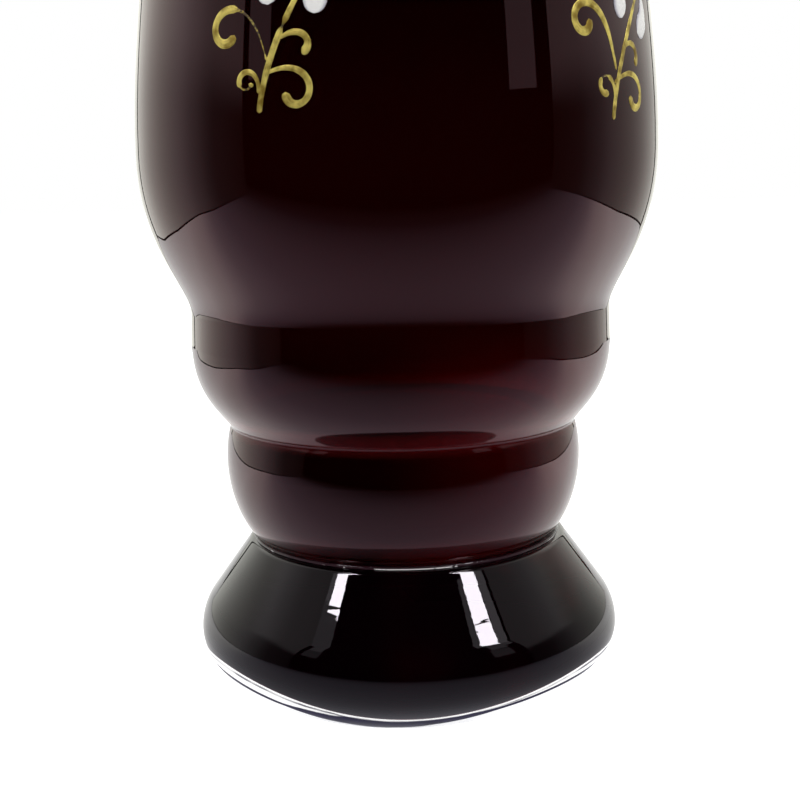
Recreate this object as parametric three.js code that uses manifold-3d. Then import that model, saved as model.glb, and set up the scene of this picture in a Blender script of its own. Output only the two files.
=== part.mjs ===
// A footed vase of dark ruby glass, painted with gold scrolls and white enamel flowers.
// Millimetres, +Z up. The origin is on the table, under the middle of the vessel.
import * as THREE from 'three';
import { mergeVertices } from 'three/addons/utils/BufferGeometryUtils.js';
import Module from 'manifold-3d';

const wasm = await Module();
wasm.setup();

// The foot: radii, and heights above the table. It was joined on a little to one side.
const footOffset = 0.4;
const footHollowRadius = 19;
const footHollowDepth = 1.6;
const footRestRadius = 25.1;
const footRadius = 34;
const footWidestHeight = 9.6;
const footShoulderRadius = 9;
const footConeAngle = 36.1;
const footTopHeight = 24.2;
const footUndersideReach = { out: 4.4, up: 2.3 };
const footRimReach = 4;

const waferRadius = 24.95;
const waferThickness = 0.6;
const seatGap = 0.3;

const vesselBaseHeight = footTopHeight + waferThickness + 2 * seatGap;
const vesselBaseRadius = 24.85;
const lowerRingRadius = 28.5;
const lowerRingHeight = 37.4;
const lowerCreaseRadius = 27.6;
const lowerCreaseHeight = 43;
const upperRingRadius = 33.3;
const upperRingHeight = 56;
const upperCreaseRadius = 33.15;
const upperCreaseHeight = 61.1;
const bellyRadius = 40.4;
const bellyHeight = 85.3;
const neckRadius = 31;
const neckHeight = 182;
const lipRadius = 37.5;
const lipHeight = 211;

// How far the side runs on from each of those places before it bends away
const baseReach = { out: 1.45, up: 1.9 };
const lowerRingReach = { below: 6.1, above: 2 };
const lowerCreaseReachBelow = { out: 0.6, down: 1.2 };
const lowerCreaseReachAbove = { out: 2, up: 3.4 };
const upperRingReach = 7.4;
const upperCreaseReach = { out: 0.05, up: 3.9 };
const bellyReach = { below: 14.1, above: 25.7 };
const neckReach = { below: 32, above: 13 };
const lipReach = { in: 4.1, down: 7 };

const wallThickness = 3.2;
const lipThickness = 2.4;
const cavityFloorHeight = 28.5;
const cavityFloorRadius = 16;
const cavityFlareHeight = neckHeight + 10;

// Painted work: it stands a little clear of the glass
const paintGap = 0.25;
const goldThickness = 0.25;
const enamelThickness = 0.5;
const gildingDepth = 4;

// Five sprays, set out by hand: the angle from the front and the height of each stem's foot
const sprayPlaces = [
  { angle: -26.5, footHeight: 90 },
  { angle: 48, footHeight: 88.5 },
  { angle: 118, footHeight: 89.2 },
  { angle: 184, footHeight: 89.8 },
  { angle: 250, footHeight: 88.9 },
];

// Sides round the turned shapes, and points along each curved stretch of an outline
const turnedSides = 36;
const curvePoints = 4;
const smallCurvePoints = 3;
const beadPoints = 2;

const rubyGlass = new THREE.MeshStandardMaterial({ color: 0x2a0508, roughness: 0.05, metalness: 0 });
const footGlass = new THREE.MeshStandardMaterial({ color: 0x160a14, roughness: 0.06, metalness: 0 });
const seamGlass = new THREE.MeshStandardMaterial({ color: 0x6b4a4c, roughness: 0.35, metalness: 0 });
const paintedGold = new THREE.MeshStandardMaterial({ color: 0xb39a45, roughness: 0.4, metalness: 0.8 });
const brightGold = new THREE.MeshStandardMaterial({ color: 0xc6a548, roughness: 0.25, metalness: 1 });
const whiteEnamel = new THREE.MeshStandardMaterial({ color: 0xe9e6e2, roughness: 0.3, metalness: 0 });
const yellowEnamel = new THREE.MeshStandardMaterial({ color: 0xcf9a32, roughness: 0.35, metalness: 0 });

const radians = THREE.MathUtils.degToRad;

function named(name, geometry, material) {
  const mesh = new THREE.Mesh(geometry, material);
  mesh.name = name;
  return mesh;
}

// A shape turned round the upright axis, from an outline of (radius, height) points
function turned(outline) {
  return new THREE.LatheGeometry(outline, turnedSides).rotateX(Math.PI / 2);
}

// The outer side of the vessel, from its seat on the wafer up to the lip
function vesselSide() {
  const lower = new THREE.Path();
  lower.moveTo(vesselBaseRadius, vesselBaseHeight);
  lower.bezierCurveTo(
    vesselBaseRadius + baseReach.out, vesselBaseHeight + baseReach.up,
    lowerRingRadius, lowerRingHeight - lowerRingReach.below,
    lowerRingRadius, lowerRingHeight,
  );
  lower.bezierCurveTo(
    lowerRingRadius, lowerRingHeight + lowerRingReach.above,
    lowerCreaseRadius + lowerCreaseReachBelow.out, lowerCreaseHeight - lowerCreaseReachBelow.down,
    lowerCreaseRadius, lowerCreaseHeight,
  );
  lower.bezierCurveTo(
    lowerCreaseRadius + lowerCreaseReachAbove.out, lowerCreaseHeight + lowerCreaseReachAbove.up,
    upperRingRadius, upperRingHeight - upperRingReach,
    upperRingRadius, upperRingHeight,
  );
  const upper = new THREE.Path();
  upper.moveTo(upperRingRadius, upperRingHeight);
  upper.lineTo(upperCreaseRadius, upperCreaseHeight);
  upper.bezierCurveTo(
    upperCreaseRadius + upperCreaseReach.out, upperCreaseHeight + upperCreaseReach.up,
    bellyRadius, bellyHeight - bellyReach.below,
    bellyRadius, bellyHeight,
  );
  upper.bezierCurveTo(
    bellyRadius, bellyHeight + bellyReach.above,
    neckRadius, neckHeight - neckReach.below,
    neckRadius, neckHeight,
  );
  upper.bezierCurveTo(
    neckRadius, neckHeight + neckReach.above,
    lipRadius - lipReach.in, lipHeight - lipReach.down,
    lipRadius, lipHeight - lipThickness / 2,
  );
  return [...lower.getPoints(smallCurvePoints), ...upper.getPoints(curvePoints).slice(1)];
}

const side = vesselSide();

// The vessel's outer radius at a height, read off the side
function radiusAt(height) {
  const above = side.findIndex((point) => point.y >= height);
  const high = side[above];
  const low = side[above - 1];
  return THREE.MathUtils.mapLinear(height, low.y, high.y, low.x, high.x);
}

// The inside follows the side at the wall's thickness, down to a rounded floor
function vessel() {
  const lip = new THREE.Path();
  lip.absarc(lipRadius - lipThickness / 2, lipHeight - lipThickness / 2, lipThickness / 2, 0, Math.PI);
  const inside = side
    .filter((point) => point.y >= lowerRingHeight && point.y < cavityFlareHeight)
    .map((point) => new THREE.Vector2(point.x - wallThickness, point.y))
    .reverse();
  const floor = new THREE.Path();
  floor.moveTo(inside.at(-1).x, inside.at(-1).y);
  floor.quadraticCurveTo(inside.at(-1).x, cavityFloorHeight, cavityFloorRadius, cavityFloorHeight);
  floor.lineTo(0, cavityFloorHeight);
  return turned([
    new THREE.Vector2(0, vesselBaseHeight),
    ...side,
    ...lip.getPoints(beadPoints).slice(1),
    ...inside,
    ...floor.getPoints(smallCurvePoints).slice(1),
  ]);
}

// A thick foot: a shallow hollow and a flat ring below, a full round rim, a straight cone above
function foot() {
  const cone = radians(footConeAngle);
  const shoulderCentre = footRadius - footShoulderRadius;
  const coneStart = new THREE.Vector2(
    shoulderCentre + footShoulderRadius * Math.cos(cone),
    footWidestHeight + footShoulderRadius * Math.sin(cone),
  );
  const topRadius = coneStart.x - Math.tan(cone) * (footTopHeight - coneStart.y);
  const outline = new THREE.Path();
  outline.moveTo(0, footHollowDepth);
  outline.quadraticCurveTo(footHollowRadius / 2, footHollowDepth, footHollowRadius, 0);
  outline.lineTo(footRestRadius, 0);
  outline.bezierCurveTo(
    footRestRadius + footUndersideReach.out, footUndersideReach.up,
    footRadius, footWidestHeight - footRimReach,
    footRadius, footWidestHeight,
  );
  outline.absarc(shoulderCentre, footWidestHeight, footShoulderRadius, 0, cone);
  outline.lineTo(topRadius, footTopHeight);
  outline.lineTo(0, footTopHeight);
  return turned(outline.getPoints(smallCurvePoints));
}

// The thin wafer of glass that joins vessel and foot, seen as a seam round the waist
function wafer() {
  const half = waferThickness / 2;
  const base = footTopHeight + seatGap;
  const outline = new THREE.Path();
  outline.moveTo(0, base);
  outline.lineTo(waferRadius - half, base);
  outline.absarc(waferRadius - half, base + half, half, -Math.PI / 2, Math.PI / 2);
  outline.lineTo(0, base + waferThickness);
  return turned(outline.getPoints(beadPoints));
}

// Gilding over the lip: a thin band whose section closes on itself
function lipGilding() {
  const centreRadius = lipRadius - lipThickness / 2;
  const centreHeight = lipHeight - lipThickness / 2;
  const inner = lipThickness / 2 + paintGap;
  const outer = inner + goldThickness;
  const low = centreHeight - gildingDepth;
  const outerFoot = radiusAt(low) + paintGap;
  const innerFoot = outerFoot - 2 * paintGap - wallThickness;
  const section = new THREE.Path();
  section.moveTo(outerFoot, low);
  section.lineTo(outerFoot + goldThickness, low);
  section.absarc(centreRadius, centreHeight, outer, 0, Math.PI);
  section.lineTo(innerFoot - goldThickness, low);
  section.lineTo(innerFoot, low);
  section.absarc(centreRadius, centreHeight, inner, Math.PI, 0, true);
  section.lineTo(outerFoot, low);
  return turned(section.getPoints(smallCurvePoints));
}

// A point of the painting: across in millimetres from the stem and a height, laid on the glass
function onGlass(across, height, clearance) {
  const radius = radiusAt(height);
  const angle = across / radius;
  const reach = radius + clearance;
  return [reach * Math.sin(angle), -reach * Math.cos(angle), height];
}

// The upper face of a stroke is this share of its width, so its sides slope
const topShare = 0.7;

// A brush stroke, closed all round. It starts at (x, y), heads along `heading` degrees and turns
// by `turn` degrees over its length, later the larger `wind` is. `width` gives the width along it.
function stroke(footHeight, { x, y, heading, length, turn, wind, steps, width, thickness, lift = 0 }) {
  const positions = [];
  const indices = [];
  const step = length / steps;
  const corners = [[1, 0], [-1, 0], [-topShare, thickness], [topShare, thickness]];
  let across = x;
  let up = y;
  for (let i = 0; i <= steps; i += 1) {
    const share = i / steps;
    const direction = radians(heading + turn * share ** wind);
    const half = width(share) / 2;
    const sideways = [-Math.sin(direction) * half, Math.cos(direction) * half];
    for (const [offset, clearance] of corners) {
      const height = footHeight + up + offset * sideways[1];
      positions.push(...onGlass(across + offset * sideways[0], height, paintGap + lift + clearance));
    }
    const middle = radians(heading + turn * ((i + 0.5) / steps) ** wind);
    across += Math.cos(middle) * step;
    up += Math.sin(middle) * step;
  }
  for (let i = 0; i < steps; i += 1) {
    for (let corner = 0; corner < 4; corner += 1) {
      const a = 4 * i + corner;
      const b = 4 * i + ((corner + 1) % 4);
      indices.push(a, b + 4, b, a, a + 4, b + 4);
    }
  }
  const last = 4 * steps;
  indices.push(0, 1, 2, 0, 2, 3, last, last + 2, last + 1, last, last + 3, last + 2);
  const geometry = new THREE.BufferGeometry();
  geometry.setAttribute('position', new THREE.Float32BufferAttribute(positions, 3));
  geometry.setIndex(indices);
  return geometry;
}

// Strokes that meet are one solid piece of paint
function joined(geometries) {
  const solids = geometries.map((geometry) => {
    const whole = mergeVertices(geometry, 1e-4);
    const mesh = new wasm.Mesh({
      numProp: 3,
      vertProperties: new Float32Array(whole.attributes.position.array),
      triVerts: new Uint32Array(whole.index.array),
    });
    return new wasm.Manifold(mesh);
  });
  const result = solids.reduce((sum, solid) => sum.add(solid)).getMesh();
  const geometry = new THREE.BufferGeometry();
  geometry.setAttribute('position', new THREE.Float32BufferAttribute(result.vertProperties, 3));
  geometry.setIndex([...result.triVerts]);
  return geometry;
}

// A curl is thin where it leaves the stem and swells towards its round end
const curlWidth = (share) => 0.6 + 0.75 * Math.sin(Math.PI * Math.min(share, 0.93)) ** 0.5 * share ** 0.5;
const stemWidth = (share) => 0.75 + 0.3 * Math.sin(Math.PI * share);

const lowerStrokes = [
  { x: 0, y: 0, heading: 86, length: 16.7, turn: -28, wind: 0.8, steps: 6, width: stemWidth },
  { x: 0.4, y: 4.6, heading: 23, length: 14.1, turn: -300, wind: 2, steps: 12, width: curlWidth },
  { x: 2.9, y: 9.5, heading: 32, length: 6.2, turn: -186, wind: 1.6, steps: 7, width: curlWidth },
  { x: 0.8, y: 6.5, heading: 106, length: 19.1, turn: 348, wind: 2.5, steps: 14, width: curlWidth },
  { x: 0.1, y: 2.6, heading: 86, length: 8.6, turn: 342, wind: 1.7, steps: 11, width: curlWidth },
];

const upperStrokes = [
  { x: 8.3, y: 28.8, heading: 82, length: 13, turn: 18, wind: 1, steps: 5, width: stemWidth },
  { x: 8.8, y: 31.2, heading: 50, length: 11, turn: -290, wind: 1.9, steps: 11, width: curlWidth },
  { x: 9.1, y: 33.4, heading: 118, length: 12.5, turn: 300, wind: 2.1, steps: 11, width: curlWidth },
];

// Each stroke lies a hair lower than the one before, so that no two faces coincide
const goldStagger = 0.015;
const enamelStagger = 0.02;

function scroll(footHeight, strokes) {
  return joined(strokes.map((values, i) => stroke(footHeight, {
    ...values,
    lift: -goldStagger * i,
    thickness: goldThickness,
  })));
}

const flowerCentre = { x: 7.3, y: 19.7 };
const flowerHeartRadius = 0.9;
const petalRootRadius = 1.6;
const petalLength = 6.6;
const petalSteps = 6;
const petalWidth = (share) => 0.5 + 2.9 * Math.sin(Math.PI * 0.5 * share) * (1 - share ** 7) ** 0.5;

const budFoot = { x: 7.95, y: 42.1 };
const budLength = 5;
const budSteps = 4;
const budWidth = (share) => 0.6 + 1.7 * Math.sin(Math.PI * 0.6 * share) * (1 - share ** 6) ** 0.5;

// Heading of each petal where it leaves the flower's heart, and how far it bends
const petals = [
  { heading: 182, turn: 96 },
  { heading: 296, turn: -32 },
  { heading: 345, turn: -20 },
  { heading: 35, turn: -12 },
  { heading: 84, turn: 8 },
  { heading: 132, turn: 20 },
];

const budPetals = [
  { heading: 66, turn: 14 },
  { heading: 100, turn: 0 },
  { heading: 134, turn: -14 },
];

function petal(footHeight, { heading, turn }) {
  return stroke(footHeight, {
    x: flowerCentre.x + petalRootRadius * Math.cos(radians(heading)),
    y: flowerCentre.y + petalRootRadius * Math.sin(radians(heading)),
    heading,
    turn,
    length: petalLength,
    wind: 1,
    steps: petalSteps,
    width: petalWidth,
    thickness: enamelThickness,
  });
}

function bud(footHeight) {
  return joined(budPetals.map(({ heading, turn }, i) => stroke(footHeight, {
    ...budFoot,
    heading,
    turn,
    length: budLength,
    wind: 1,
    steps: budSteps,
    width: budWidth,
    thickness: enamelThickness,
    lift: -enamelStagger * i,
  })));
}

// The flower's heart is a low dot, drawn as one short stroke that is round but for its blunt ends
const heartEndShare = 0.35;
const heartSteps = 4;

function heart(footHeight) {
  const circle = (share) => Math.sqrt(1 - (2 * share - 1) ** 2);
  return stroke(footHeight, {
    x: flowerCentre.x - flowerHeartRadius,
    y: flowerCentre.y,
    heading: 0,
    turn: 0,
    length: 2 * flowerHeartRadius,
    wind: 1,
    steps: heartSteps,
    width: (share) => 2 * flowerHeartRadius * Math.max(circle(share), heartEndShare),
    thickness: enamelThickness,
  });
}

// One spray of painting, made at the front of the vase and then turned to its place
function spray(number, { angle, footHeight }) {
  const pieces = new THREE.Group();
  pieces.rotation.z = radians(angle);
  pieces.add(named(`gold_scroll_${number}`, scroll(footHeight, lowerStrokes), paintedGold));
  pieces.add(named(`gold_shoot_${number}`, scroll(footHeight, upperStrokes), paintedGold));
  petals.forEach((values, i) => {
    pieces.add(named(`petal_${number}_${i + 1}`, petal(footHeight, values), whiteEnamel));
  });
  pieces.add(named(`flower_heart_${number}`, heart(footHeight), yellowEnamel));
  pieces.add(named(`bud_${number}`, bud(footHeight), whiteEnamel));
  return pieces;
}

const footMesh = named('foot', foot(), footGlass);
footMesh.position.x = footOffset;
const waferMesh = named('join_wafer', wafer(), seamGlass);
waferMesh.position.x = footOffset / 2;

const group = new THREE.Group();
group.add(footMesh, waferMesh);
group.add(named('vessel', vessel(), rubyGlass));
group.add(named('lip_gilding', lipGilding(), brightGold));
sprayPlaces.forEach((place, i) => group.add(spray(i + 1, place)));

export default group;
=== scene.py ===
import math

import bpy
from mathutils import Matrix, Vector


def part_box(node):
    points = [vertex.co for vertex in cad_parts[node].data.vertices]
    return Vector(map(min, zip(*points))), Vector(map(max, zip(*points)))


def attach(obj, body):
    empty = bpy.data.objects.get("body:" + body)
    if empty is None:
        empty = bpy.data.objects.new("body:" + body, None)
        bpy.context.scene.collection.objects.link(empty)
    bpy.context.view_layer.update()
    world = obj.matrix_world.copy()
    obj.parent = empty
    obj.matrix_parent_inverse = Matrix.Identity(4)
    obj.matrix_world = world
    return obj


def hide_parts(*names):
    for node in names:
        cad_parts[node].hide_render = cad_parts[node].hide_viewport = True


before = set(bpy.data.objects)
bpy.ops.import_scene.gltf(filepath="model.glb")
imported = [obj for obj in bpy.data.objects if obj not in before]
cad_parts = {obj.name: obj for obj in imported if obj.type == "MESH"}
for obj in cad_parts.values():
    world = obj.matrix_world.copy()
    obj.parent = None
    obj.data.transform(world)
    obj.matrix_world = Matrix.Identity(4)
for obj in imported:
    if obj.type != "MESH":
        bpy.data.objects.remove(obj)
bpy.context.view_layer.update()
mm = 0.001

# Places that the glass shares with the frame
footLow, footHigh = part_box("foot")
footOffset = (footLow.x + footHigh.x) / 2 / mm
footRadius = (footHigh.x - footLow.x) / 2 / mm
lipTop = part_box("vessel")[1].z / mm
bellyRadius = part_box("vessel")[1].x / mm
print("frame loaded:", len(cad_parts), "nodes, lip at", round(lipTop, 1), "mm")


# Node helpers: put() makes one node and fills or links its sockets, maths() one Math node

def fill(tree, socket, value):
    if isinstance(value, bpy.types.NodeSocket):
        tree.links.new(value, socket)
    else:
        socket.default_value = value


def put(tree, kind, sockets=None, **settings):
    node = tree.nodes.new(kind)
    for key, value in settings.items():
        setattr(node, key, value)
    for key, value in (sockets or {}).items():
        fill(tree, node.inputs[key], value)
    return node


def maths(tree, operation, *terms):
    node = tree.nodes.new("ShaderNodeMath")
    node.operation = operation
    for socket, term in zip(node.inputs, terms):
        fill(tree, socket, term)
    return node.outputs[0]


def smoothStep(tree, value, low, high, start=0.0, end=1.0):
    sockets = {"Value": value, "From Min": low, "From Max": high, "To Min": start, "To Max": end}
    return put(tree, "ShaderNodeMapRange", sockets, interpolation_type="SMOOTHSTEP").outputs["Result"]


def band(tree, value, start, full, fade, end):
    # 0 outside start and end, 1 between full and fade
    return maths(tree, "MULTIPLY", smoothStep(tree, value, start, full), smoothStep(tree, value, end, fade))


def axisOf(tree, place, axis):
    return put(tree, "ShaderNodeSeparateXYZ", {"Vector": place}).outputs[axis]


def geometryTree(name, inputs):
    tree = bpy.data.node_groups.new(name, "GeometryNodeTree")
    tree.interface.new_socket("Geometry", in_out="INPUT", socket_type="NodeSocketGeometry")
    for label, kind in inputs.items():
        tree.interface.new_socket(label, in_out="INPUT", socket_type="NodeSocket" + kind)
    tree.interface.new_socket("Geometry", in_out="OUTPUT", socket_type="NodeSocketGeometry")
    return tree, tree.nodes.new("NodeGroupInput").outputs


def endTree(tree, geometry, material):
    realized = put(tree, "GeometryNodeRealizeInstances", {"Geometry": geometry}).outputs[0]
    painted = put(tree, "GeometryNodeSetMaterial", {"Geometry": realized, "Material": material})
    put(tree, "NodeGroupOutput", {0: painted.outputs[0]})


def addObject(name, data):
    piece = bpy.data.objects.new(name, data)
    bpy.context.scene.collection.objects.link(piece)
    return piece


def solidFrom(source, tree, values, name):
    # Runs the tree on the source object and keeps the result as a plain mesh of its own
    modifier = source.modifiers.new("build", "NODES")
    modifier.node_group = tree
    for item in tree.interface.items_tree:
        if item.in_out == "INPUT" and item.name in values:
            modifier[item.identifier] = values[item.name]
    graph = bpy.context.evaluated_depsgraph_get()
    mesh = bpy.data.meshes.new_from_object(source.evaluated_get(graph), depsgraph=graph)
    source.modifiers.remove(modifier)
    bpy.data.objects.remove(source)
    mesh.name = name
    return addObject(name, mesh)


def settle(piece, nodes):
    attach(piece, "root")
    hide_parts(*nodes)


# Materials

def newMaterial(name):
    material = bpy.data.materials.new(name)
    material.use_nodes = True
    material.node_tree.nodes.clear()
    return material, material.node_tree


def objectPlace(tree):
    return put(tree, "ShaderNodeTexCoord").outputs["Object"]


def objectNoise(tree, scale, detail, stretch=(1, 1, 1), roughness=0.5):
    placed = put(tree, "ShaderNodeMapping", {"Vector": objectPlace(tree), "Scale": stretch}).outputs[0]
    sockets = {"Vector": placed, "Scale": scale, "Detail": detail, "Roughness": roughness}
    return put(tree, "ShaderNodeTexNoise", sockets).outputs["Fac"]


def attribute(tree, name):
    return put(tree, "ShaderNodeAttribute", attribute_name=name).outputs["Fac"]


def mixedTone(tree, shares, values):
    total = 0
    for share, value in zip(shares, values):
        total = maths(tree, "MULTIPLY_ADD", value, share, total)
    return total


def blend(tree, share, first, second):
    node = put(tree, "ShaderNodeMix", data_type="RGBA")
    fill(tree, node.inputs["Factor"], share)
    fill(tree, node.inputs["A"], first)
    fill(tree, node.inputs["B"], second)
    return node.outputs["Result"]


def finishMaterial(material, look, colour, rough, height, constants=None, volume=None):
    # A Principled shader over a bump, with the constants set on its own sockets
    tree = material.node_tree
    bump = put(tree, "ShaderNodeBump", {"Height": height, "Distance": look["bump"]})
    shader = put(tree, "ShaderNodeBsdfPrincipled", {
        "Base Color": colour, "Roughness": rough, "Normal": bump.outputs[0], **(constants or {}),
    })
    inside = {"Volume": volume} if volume else {}
    put(tree, "ShaderNodeOutputMaterial", {"Surface": shader.outputs[0], **inside})
    return material


# In the looks a noise is (scale, detail, stretch, roughness), and "...From" is a pair of limits
# between which a value takes effect. Heights and depths of bumps are in metres.

glassLook = {
    "tint": (0.21, 0.008, 0.010, 1),
    "darkTint": (0.16, 0.005, 0.007, 1),
    "cloud": (45, 3),
    # Above these heights the ruby is darker
    "darkerFrom": (0.088, 0.108),
    "darkerTint": (0.10, 0.002, 0.004, 1),
    # Painted light: the rings and the foot are painted redder on the right, darker on the left, as light
    # falls through them
    "ringsFrom": (0.062, 0.050),
    "ringsShare": 0.85,
    "rightGlowFrom": (-0.006, 0.018),
    "ringShadeGlowTints": ((0.07, 0.002, 0.003, 1), (0.50, 0.010, 0.016, 1)),
    # Painted highlight: the crease between the rings is painted redder, as if lit
    "creaseGlowLine": (0.0416, 0.0428, 0.0446, 0.0462),
    "creaseGlowTint": (1.0, 0.05, 0.06, 1),
    # Under these heights light from below makes the ruby glow in patches
    "glowFrom": (0.0298, 0.0272),
    "patchesFrom": (0.3, 0.6),
    "glowTint": (1.0, 0.006, 0.012, 1),
    "clearness": 0.975,
    "absorbColour": (0.66, 0.0, 0.02, 1),
    "absorbDensity": 1600,
    # Reflections straight on are reddish, at a slant they are white
    "ior": 1.75,
    "gloss": (1.0, 0.56, 0.60, 1),
    "smears": (160, 5, (1, 1, 0.35), 0.6),
    "smearsFrom": (0.5, 0.85),
    "roughness": (0.012, 0.05),
    "wave": (90, 1, (1, 1, 0.5)),
    "bump": 0.00001,
}


def makeGlass(name, look):
    material, tree = newMaterial(name)
    cloud = objectNoise(tree, *look["cloud"])
    across, height = (axisOf(tree, objectPlace(tree), axis) for axis in "XZ")
    colour = blend(tree, cloud, look["tint"], look["darkTint"])
    # Darker above a height
    colour = blend(tree, smoothStep(tree, height, *look["darkerFrom"]), colour, look["darkerTint"])
    # Painted light: low down the glass is painted redder on the right and darker on the left
    sidedGlow = blend(tree, smoothStep(tree, across, *look["rightGlowFrom"]), *look["ringShadeGlowTints"])
    rings = smoothStep(tree, height, *look["ringsFrom"], end=look["ringsShare"])
    colour = blend(tree, rings, colour, sidedGlow)
    # Painted highlight: a redder line along the crease between the rings
    colour = blend(tree, band(tree, height, *look["creaseGlowLine"]), colour, look["creaseGlowTint"])
    low, patches = smoothStep(tree, height, *look["glowFrom"]), smoothStep(tree, cloud, *look["patchesFrom"])
    colour = blend(tree, maths(tree, "MULTIPLY", low, patches), colour, look["glowTint"])
    rough = smoothStep(tree, objectNoise(tree, *look["smears"]), *look["smearsFrom"], *look["roughness"])
    constants = {"IOR": look["ior"], "Specular Tint": look["gloss"], "Transmission Weight": look["clearness"]}
    volume = put(tree, "ShaderNodeVolumeAbsorption", {
        "Color": look["absorbColour"], "Density": look["absorbDensity"],
    }).outputs[0]
    wave = objectNoise(tree, *look["wave"])
    return finishMaterial(material, look, colour, rough, wave, constants, volume)


def brushStreaks(tree, stretch, detail):
    axes = {"X": "along", "Y": "around", "Z": "strokeNumber"}
    joined = put(tree, "ShaderNodeCombineXYZ", {axis: attribute(tree, name) for axis, name in axes.items()})
    place = put(tree, "ShaderNodeMapping", {"Vector": joined.outputs[0], "Scale": stretch}).outputs[0]
    return put(tree, "ShaderNodeTexNoise", {"Vector": place, "Scale": 1.0, "Detail": detail}).outputs["Fac"]


goldLook = {
    "bright": (0.92, 0.76, 0.19, 1),
    "deep": (0.27, 0.17, 0.014, 1),
    "worn": (0.075, 0.05, 0.035, 1),
    "metal": 0.62,
    # Brush streaks are (stretch, detail); the tone is made of shares of streaks, blotches and pools
    "streaks": ((260, 9, 5), 4.0),
    "blotches": (900, 3),
    "pools": (300, 2),
    "shares": (0.25, 0.3, 0.45),
    "brightFrom": (0.40, 0.60),
    "grain": (2600, 2),
    "wear": 0.55,
    "lostFrom": (0.92, 1.12),
    "roughFrom": (0.3, 0.7),
    "roughness": (0.38, 0.55),
    "bump": 0.00002,
}


def makePaintedGold(name, look):
    material, tree = newMaterial(name)
    streaks = brushStreaks(tree, *look["streaks"])
    blotches, pools, grain = (objectNoise(tree, *look[kind]) for kind in ("blotches", "pools", "grain"))
    tone = mixedTone(tree, look["shares"], (streaks, blotches, pools))
    colour = blend(tree, smoothStep(tree, tone, *look["brightFrom"]), look["deep"], look["bright"])
    lost = maths(tree, "MULTIPLY_ADD", attribute(tree, "worn"), look["wear"], grain)
    colour = blend(tree, smoothStep(tree, lost, *look["lostFrom"]), colour, look["worn"])
    rough = smoothStep(tree, streaks, *look["roughFrom"], *look["roughness"])
    return finishMaterial(material, look, colour, rough, tone, {"Metallic": look["metal"]})


enamelLook = {
    "body": (0.79, 0.78, 0.765, 1),
    "thin": (0.42, 0.40, 0.46, 1),
    "thinFrom": (0.75, 1.2),
    "mottle": (1400, 3),
    "streaks": ((120, 5, 3), 3.0),
    # Shares of mottle and streaks
    "shares": (0.3, 0.7),
    "roughFrom": (0.3, 0.7),
    "roughness": (0.18, 0.32),
    "bump": 0.00006,
}


def makeEnamel(name, look):
    material, tree = newMaterial(name)
    mottle, streaks = objectNoise(tree, *look["mottle"]), brushStreaks(tree, *look["streaks"])
    thinness = maths(tree, "MULTIPLY_ADD", mottle, look["shares"][0], attribute(tree, "rim"))
    colour = blend(tree, smoothStep(tree, thinness, *look["thinFrom"]), look["body"], look["thin"])
    rough = smoothStep(tree, mottle, *look["roughFrom"], *look["roughness"])
    height = mixedTone(tree, look["shares"], (mottle, streaks))
    return finishMaterial(material, look, colour, rough, height)


seamLook = {
    "body": (0.022, 0.006, 0.010, 1),
    "grit": (0.80, 0.76, 0.76, 1),
    "grains": (1500, 3, (1, 1, 1), 0.6),
    "patches": (70, 2),
    "patchesFrom": (0.44, 0.60),
    # Shares of grains and patches
    "shares": (0.6, 0.4),
    "gritFrom": (0.55, 0.66),
    # The hairline lies between the first two and the last two heights
    "hairline": (0.02452, 0.02460, 0.02468, 0.02478),
    "roughFrom": (0.4, 0.65),
    "roughness": (0.06, 0.3),
    "bump": 0.00006,
}


def makeSeam(name, look):
    material, tree = newMaterial(name)
    grains = objectNoise(tree, *look["grains"])
    patches = smoothStep(tree, objectNoise(tree, *look["patches"]), *look["patchesFrom"])
    tone = mixedTone(tree, look["shares"], (grains, patches))
    line = band(tree, axisOf(tree, objectPlace(tree), "Z"), *look["hairline"])
    gritty = maths(tree, "MULTIPLY", smoothStep(tree, tone, *look["gritFrom"]), line)
    colour = blend(tree, gritty, look["body"], look["grit"])
    rough = smoothStep(tree, tone, *look["roughFrom"], *look["roughness"])
    return finishMaterial(material, look, colour, rough, grains)


edgeLook = {
    # Painted light: the clear band is white and glows; the violet line is painted shade
    "clear": (1.0, 1.0, 1.0, 1),
    "grey": (0.17, 0.16, 0.20, 1),
    "violet": (0.008, 0.004, 0.045, 1),
    "glow": 0.35,
    "noGlow": (0, 0, 0, 1),
    "specular": 0.02,
    "uneven": (260, 3, (1, 1, 0.4)),
    # In millimetres under the edge's upper border: a clear line free of violet, and a thin grey line
    "clearLine": (0.35, 0.65),
    "greyLine": (0.2, 0.4, 0.6, 0.9),
    "greyRagged": 0.5,
    "streaks": (90, 3, (1, 1, 3)),
    "streaksFrom": (0.38, 0.55),
    # The violet line is painted shade; it fades out from its sides inwards
    "violetFrom": (1.2, 0.8),
    "violetRagged": 0.6,
    "roughFrom": (0.35, 0.7),
    "roughness": (0.05, 0.25),
    "bump": 0.00003,
}


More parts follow.
